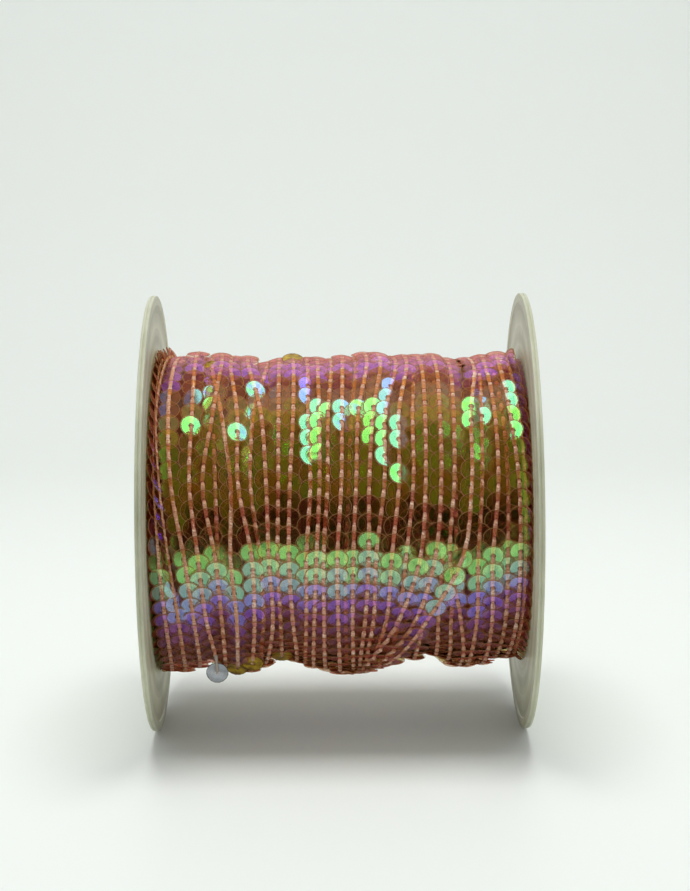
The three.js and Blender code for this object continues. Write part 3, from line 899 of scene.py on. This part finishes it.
def stitch_pattern(name, rings, n, finish):
    """One stitch of so many sides, with U along it in mm and V once round it."""
    angles = 2 * np.pi * (np.arange(n) + 0.5) / n
    points = [
        (ring.width / 2 * math.cos(a), -ring.down, ring.up + ring.thick / 2 * math.sin(a))
        for ring in rings for a in angles
    ]
    faces = [
        (r * n + s, r * n + (s + 1) % n, (r + 1) * n + (s + 1) % n, (r + 1) * n + s)
        for r in range(len(rings) - 1) for s in range(n)
    ]
    corners = [((r, s), (r, s + 1), (r + 1, s + 1), (r + 1, s))
               for r in range(len(rings) - 1) for s in range(n)]
    faces += [tuple(range(n))[::-1], tuple(range((len(rings) - 1) * n, len(rings) * n))]
    corners += [((0, s) for s in reversed(range(n))), ((len(rings) - 1, s) for s in range(n))]
    piece = solid(name, points, faces, finish)
    along = piece.data.uv_layers.new(name="along")
    places = [(rings[r].down, s / n) for face in corners for r, s in face]
    along.data.foreach_set("uv", np.array(places).ravel())
    return piece


def spun_polyester(tree):
    """Chain-stitched thread: dull salmon pink, with small pale flecks as painted highlights where
    the loops stand up, 0.8 mm apart, on softer and broader changes of tone along the thread."""
    along = add(tree, "ShaderNodeUVMap", uv_map="along")
    loops = add(
        tree, "ShaderNodeTexWave",
        {"Scale": math.tau / (10 * PAINTED_HIGHLIGHTS_APART), "Distortion": 5, "Detail": 2,
         "Detail Scale": 1.5},
        {"Vector": along}, bands_direction="DIAGONAL",
    )
    fuzz = mottling(tree, 0.53, 1)
    drift = mottling(tree, 6.3, 1)
    fine = add(
        tree, "ShaderNodeMath", {1: 0.16}, {0: loops.outputs["Fac"], 2: fuzz},
        operation="MULTIPLY_ADD",
    )
    height = add(tree, "ShaderNodeMath", {1: 0.6}, {0: drift, 2: fine}, operation="MULTIPLY_ADD")
    part = add(tree, "ShaderNodeMath", {1: 1 / PALEST}, {0: height}, operation="MULTIPLY")
    # Painted highlights: the thread turns pale pink where the loops stand highest.
    colour = ramp(tree, part, [
        (0.5 / PALEST, "#AC664A"), (0.76 / PALEST, "#C88868"), (0.94 / PALEST, "#D49C7C"),
        (1.0, "#F2D0BA"),
    ])
    gold = add(tree, "ShaderNodeAttribute", attribute_name="gold")
    tinted = add(
        tree, "ShaderNodeMix", {7: linear("#B87426")},
        {0: gold.outputs["Fac"], 6: colour}, data_type="RGBA",
    )
    return add(
        tree, "ShaderNodeBsdfPrincipled", {"Roughness": 0.6, "Sheen Weight": 0.25},
        {"Base Color": tinted.outputs[2], "Normal": bumps(tree, height, 0.7, 0.3)},
    )


thread = finish_with("spun_polyester_thread", spun_polyester)
stitch = stitch_pattern("stitch_pattern", STITCH, STITCH_SIDES, thread)
gold = 0.5 * np.array([COURSES[row].gold for row in outer.row])
room_between = 2 * np.pi * (WOUND_RADIUS - TAKEN_IN) / SEQUINS_A_TURN * np.sin(leans)
pressed = 1 - np.clip(room_between / STITCH_HEIGHT, 0.4, 1)
stitches = string_up(
    "outer_thread", outer.point,
    {"turn": stitch_turns, "slack": slack, "gold": gold, "pressed": pressed},
    stitch, thread, 0.0, 5,
)
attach(stitches, "root")


# The layer under it: the same trim, side by side in an even row, seen through the film
# and between the threads. Its own film is painted dark, as painted shade of the layers behind it.
UNDER_TURNS = 29
UNDER_REACH = 47.6
UNDER_DEPTH = 2.3
UNDER_LEAN = math.radians(11)
UNDER_SIDES = 10


def layered_film(tree):
    """The same amber film over darker layers: it no longer shows through, and its dark
    red-brown is painted shade.
    """
    rim = over_a_sequin(tree).rim
    facing_angle = add(tree, "ShaderNodeLayerWeight", {"Blend": 0.5})
    tone = add(tree, "ShaderNodeAttribute", attribute_name="tone")
    # Painted shade: dark red-brown for the shade of the layers beneath, its tone differing at random.
    amber = ramp(tree, tone.outputs["Fac"], [(0.0, "#581808"), (1.0, "#78320E")])
    body = add(tree, "ShaderNodeBsdfPrincipled", {"Roughness": 0.3}, {"Base Color": amber})
    mirror = add(
        tree, "ShaderNodeBsdfGlossy", {"Roughness": 0.2},
        {"Color": film_colours(tree, facing_angle.outputs["Facing"])},
    )
    film_part = add(tree, "ShaderNodeMixShader", {0: 0.15}, {1: body, 2: mirror})
    edge = add(
        tree, "ShaderNodeBsdfPrincipled", {"Base Color": linear("#8E6032"), "Roughness": 0.4},
    )
    part_of_edge = add(tree, "ShaderNodeMath", {1: 0.6}, {0: rim}, operation="MULTIPLY")
    return add(tree, "ShaderNodeMixShader", links={0: part_of_edge, 1: film_part, 2: edge})


parts = []
for row in range(UNDER_TURNS):
    middle = np.interp(row, [0, UNDER_TURNS - 1], [-UNDER_REACH, UNDER_REACH])
    xs = middle + rng.uniform(-0.9, 0.9, len(STATIONS + BEHIND))
    depth = -UNDER_DEPTH + rng.uniform(-0.25, 0.25)
    angles = rng.uniform(0, step) + step * np.arange(SEQUINS_A_TURN)
    parts.append(strand(
        lambda a: round_curve(STATIONS + BEHIND, xs, a), lambda a: depth + 0 * a, angles, row,
    ))
under = stacked(parts)
under_facing, under_upper = lie(under, UNDER_LEAN, room_roll(under))
under_turns = euler(under_facing, under_upper)
full_slack = np.ones(len(under.row))
film_in_painted_shade = finish_with("film_over_deeper_layers", layered_film)
under_pattern = sequin_pattern("under_pattern", UNDER_SIDES)
under_sequins = string_up(
    "under_sequins", under.point, {"turn": under_turns, "slack": full_slack},
    under_pattern, film_in_painted_shade, SWAY, 7,
)
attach(under_sequins, "root")
shaded_thread = finish_with("thread_in_the_shade_of_the_film", lambda tree: add(
    tree, "ShaderNodeBsdfPrincipled", {"Base Color": linear("#7A4420"), "Roughness": 0.6},
))
under_stitch = stitch_pattern("under_stitch", STITCH[::2] + STITCH[-1:], 4, shaded_thread)
under_stitches = string_up(
    "under_thread", under.point, {"turn": under_turns, "slack": full_slack},
    under_stitch, shaded_thread, 0.0, 9,
)
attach(under_stitches, "root")


# The deeper layers, wound straight on the hub: one body whose surface shows the next
# turns as ridges, deep orange-brown in the shade of the layers above.
DEEP = 5.2
RIDGE = 0.5
RIDGE_SPACING = 3.46
BODY_END = 49.7
BODY_TURNS = 128
BODY_LINES = 145
BODY_BORE = 15.3


def deep_layers(tree):
    """Many layers of film and thread in the shade: reddish brown, broken by dark gaps."""
    broken = mottling(tree, 3.1, 3, 0.6)
    colour = ramp(tree, broken, [(0.35, "#220803"), (0.7, "#6A2610")])
    return add(
        tree, "ShaderNodeBsdfPrincipled", {"Roughness": 0.45},
        {"Base Color": colour, "Normal": bumps(tree, broken, 0.8, 0.6)},
    )


body_along = np.linspace(-BODY_END, BODY_END, BODY_LINES)
points = []
for angle in 360 * np.arange(BODY_TURNS) / BODY_TURNS:
    ridge = RIDGE * np.cos(2 * np.pi * body_along / RIDGE_SPACING)
    radius = wound_radius(body_along, angle) - DEEP + ridge
    points.append(on_axis(body_along, angle, radius))
    points.append(on_axis(body_along[[-1, 0]], angle, np.full(2, BODY_BORE)))
points = np.concatenate(points)
rows = len(body_along) + 2
faces = [
    (t * rows + r, (t + 1) % BODY_TURNS * rows + r,
     (t + 1) % BODY_TURNS * rows + (r + 1) % rows, t * rows + (r + 1) % rows)
    for t in range(BODY_TURNS) for r in range(rows)
]
body = solid("deep_layers", points, faces, finish_with("layers_of_film_and_thread", deep_layers))
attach(body, "root")


# The loose end: a few millimetres of bare thread off the last turn, and the last sequin,
# turned outwards so that it faces the front and mirrors the bright table.
END_ALONG, END_ANGLE, END_LIFT = -33.1, 147.0, 3.4
END_LEAN = math.radians(-14)
TAIL_ALONG, TAIL_ANGLE, TAIL_SUNK = -33.4, 142.5, 0.4
TAIL_SIDES = 8
TAIL_LINES = 13


def curled_film(tree):
    """The last sequin, curled: part of it mirrors the dim room in blue-grey, part the
    bright table."""
    rim = over_a_sequin(tree).rim
    dents = mottling(tree, 5.9, 1)
    gloss = add(
        tree, "ShaderNodeBsdfGlossy", {"Color": linear("#BCC4D0"), "Roughness": 0.14},
        {"Normal": bumps(tree, dents, 1.0, 1.2)},
    )
    clear = add(tree, "ShaderNodeBsdfTransparent", {"Color": linear("#D8D0C8")})
    film_part = add(tree, "ShaderNodeMixShader", {0: 0.62}, {1: clear, 2: gloss})
    edge = add(tree, "ShaderNodeBsdfDiffuse", {"Color": linear("#4A4440")})
    return add(tree, "ShaderNodeMixShader", links={0: rim, 1: film_part, 2: edge})


last_place = strand(
    lambda a: END_ALONG + 0 * a, lambda a: TAKEN_IN + END_LIFT + 0 * a,
    np.array([END_ANGLE]), LOOSE_ROW,
)
end_facing = np.array([[0.0, -math.cos(END_LEAN), math.sin(END_LEAN)]])
end_upper = np.array([[0.05, 0.0, 1.0]])
last_sequin = string_up(
    "last_sequin", last_place.point,
    {"turn": euler(end_facing, end_upper), "slack": np.zeros(1), "crumple": np.zeros(1)},
    pattern, finish_with("curled_polyester_film", curled_film), 0.0, 2,
)
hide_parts("loose_end")
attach(last_sequin, "root")
centre = last_place.point[0]
foot = on_axis(TAIL_ALONG, TAIL_ANGLE, wound_radius(TAIL_ALONG, TAIL_ANGLE) - TAIL_SUNK)
tail = [foot, 0.55 * foot + 0.45 * centre + (0, -0.5, 0.6), centre + (0, -0.55, 0.4),
        centre + (0, -0.1, -0.2)]
tail_points, tail_faces = [], []
samples = np.linspace(0, len(tail) - 1, TAIL_LINES)
for s in samples:
    where = np.array([np.interp(s, range(len(tail)), [p[k] for p in tail]) for k in range(3)])
    girth = 0.42 + 0.07 * math.sin(4.2 * s)
    for a in 2 * np.pi * np.arange(TAIL_SIDES) / TAIL_SIDES:
        tail_points.append(where + (girth * math.cos(a), girth * math.sin(a), 0))
for r in range(len(samples) - 1):
    for s in range(TAIL_SIDES):
        tail_faces.append((
            r * TAIL_SIDES + s, (r + 1) * TAIL_SIDES + s,
            (r + 1) * TAIL_SIDES + (s + 1) % TAIL_SIDES, r * TAIL_SIDES + (s + 1) % TAIL_SIDES,
        ))
tail_faces += [tuple(range(TAIL_SIDES)),
               tuple(range((len(samples) - 1) * TAIL_SIDES, len(samples) * TAIL_SIDES))[::-1]]
bare_core = finish_with("bare_core_of_the_thread", lambda tree: add(
    tree, "ShaderNodeBsdfPrincipled", {"Base Color": linear("#B4A69C"), "Roughness": 0.5},
))
loose_thread = solid("loose_thread", tail_points, tail_faces, bare_core)
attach(loose_thread, "root")

for spent in (pattern, stitch, under_pattern, under_stitch):
    bpy.data.objects.remove(spent)
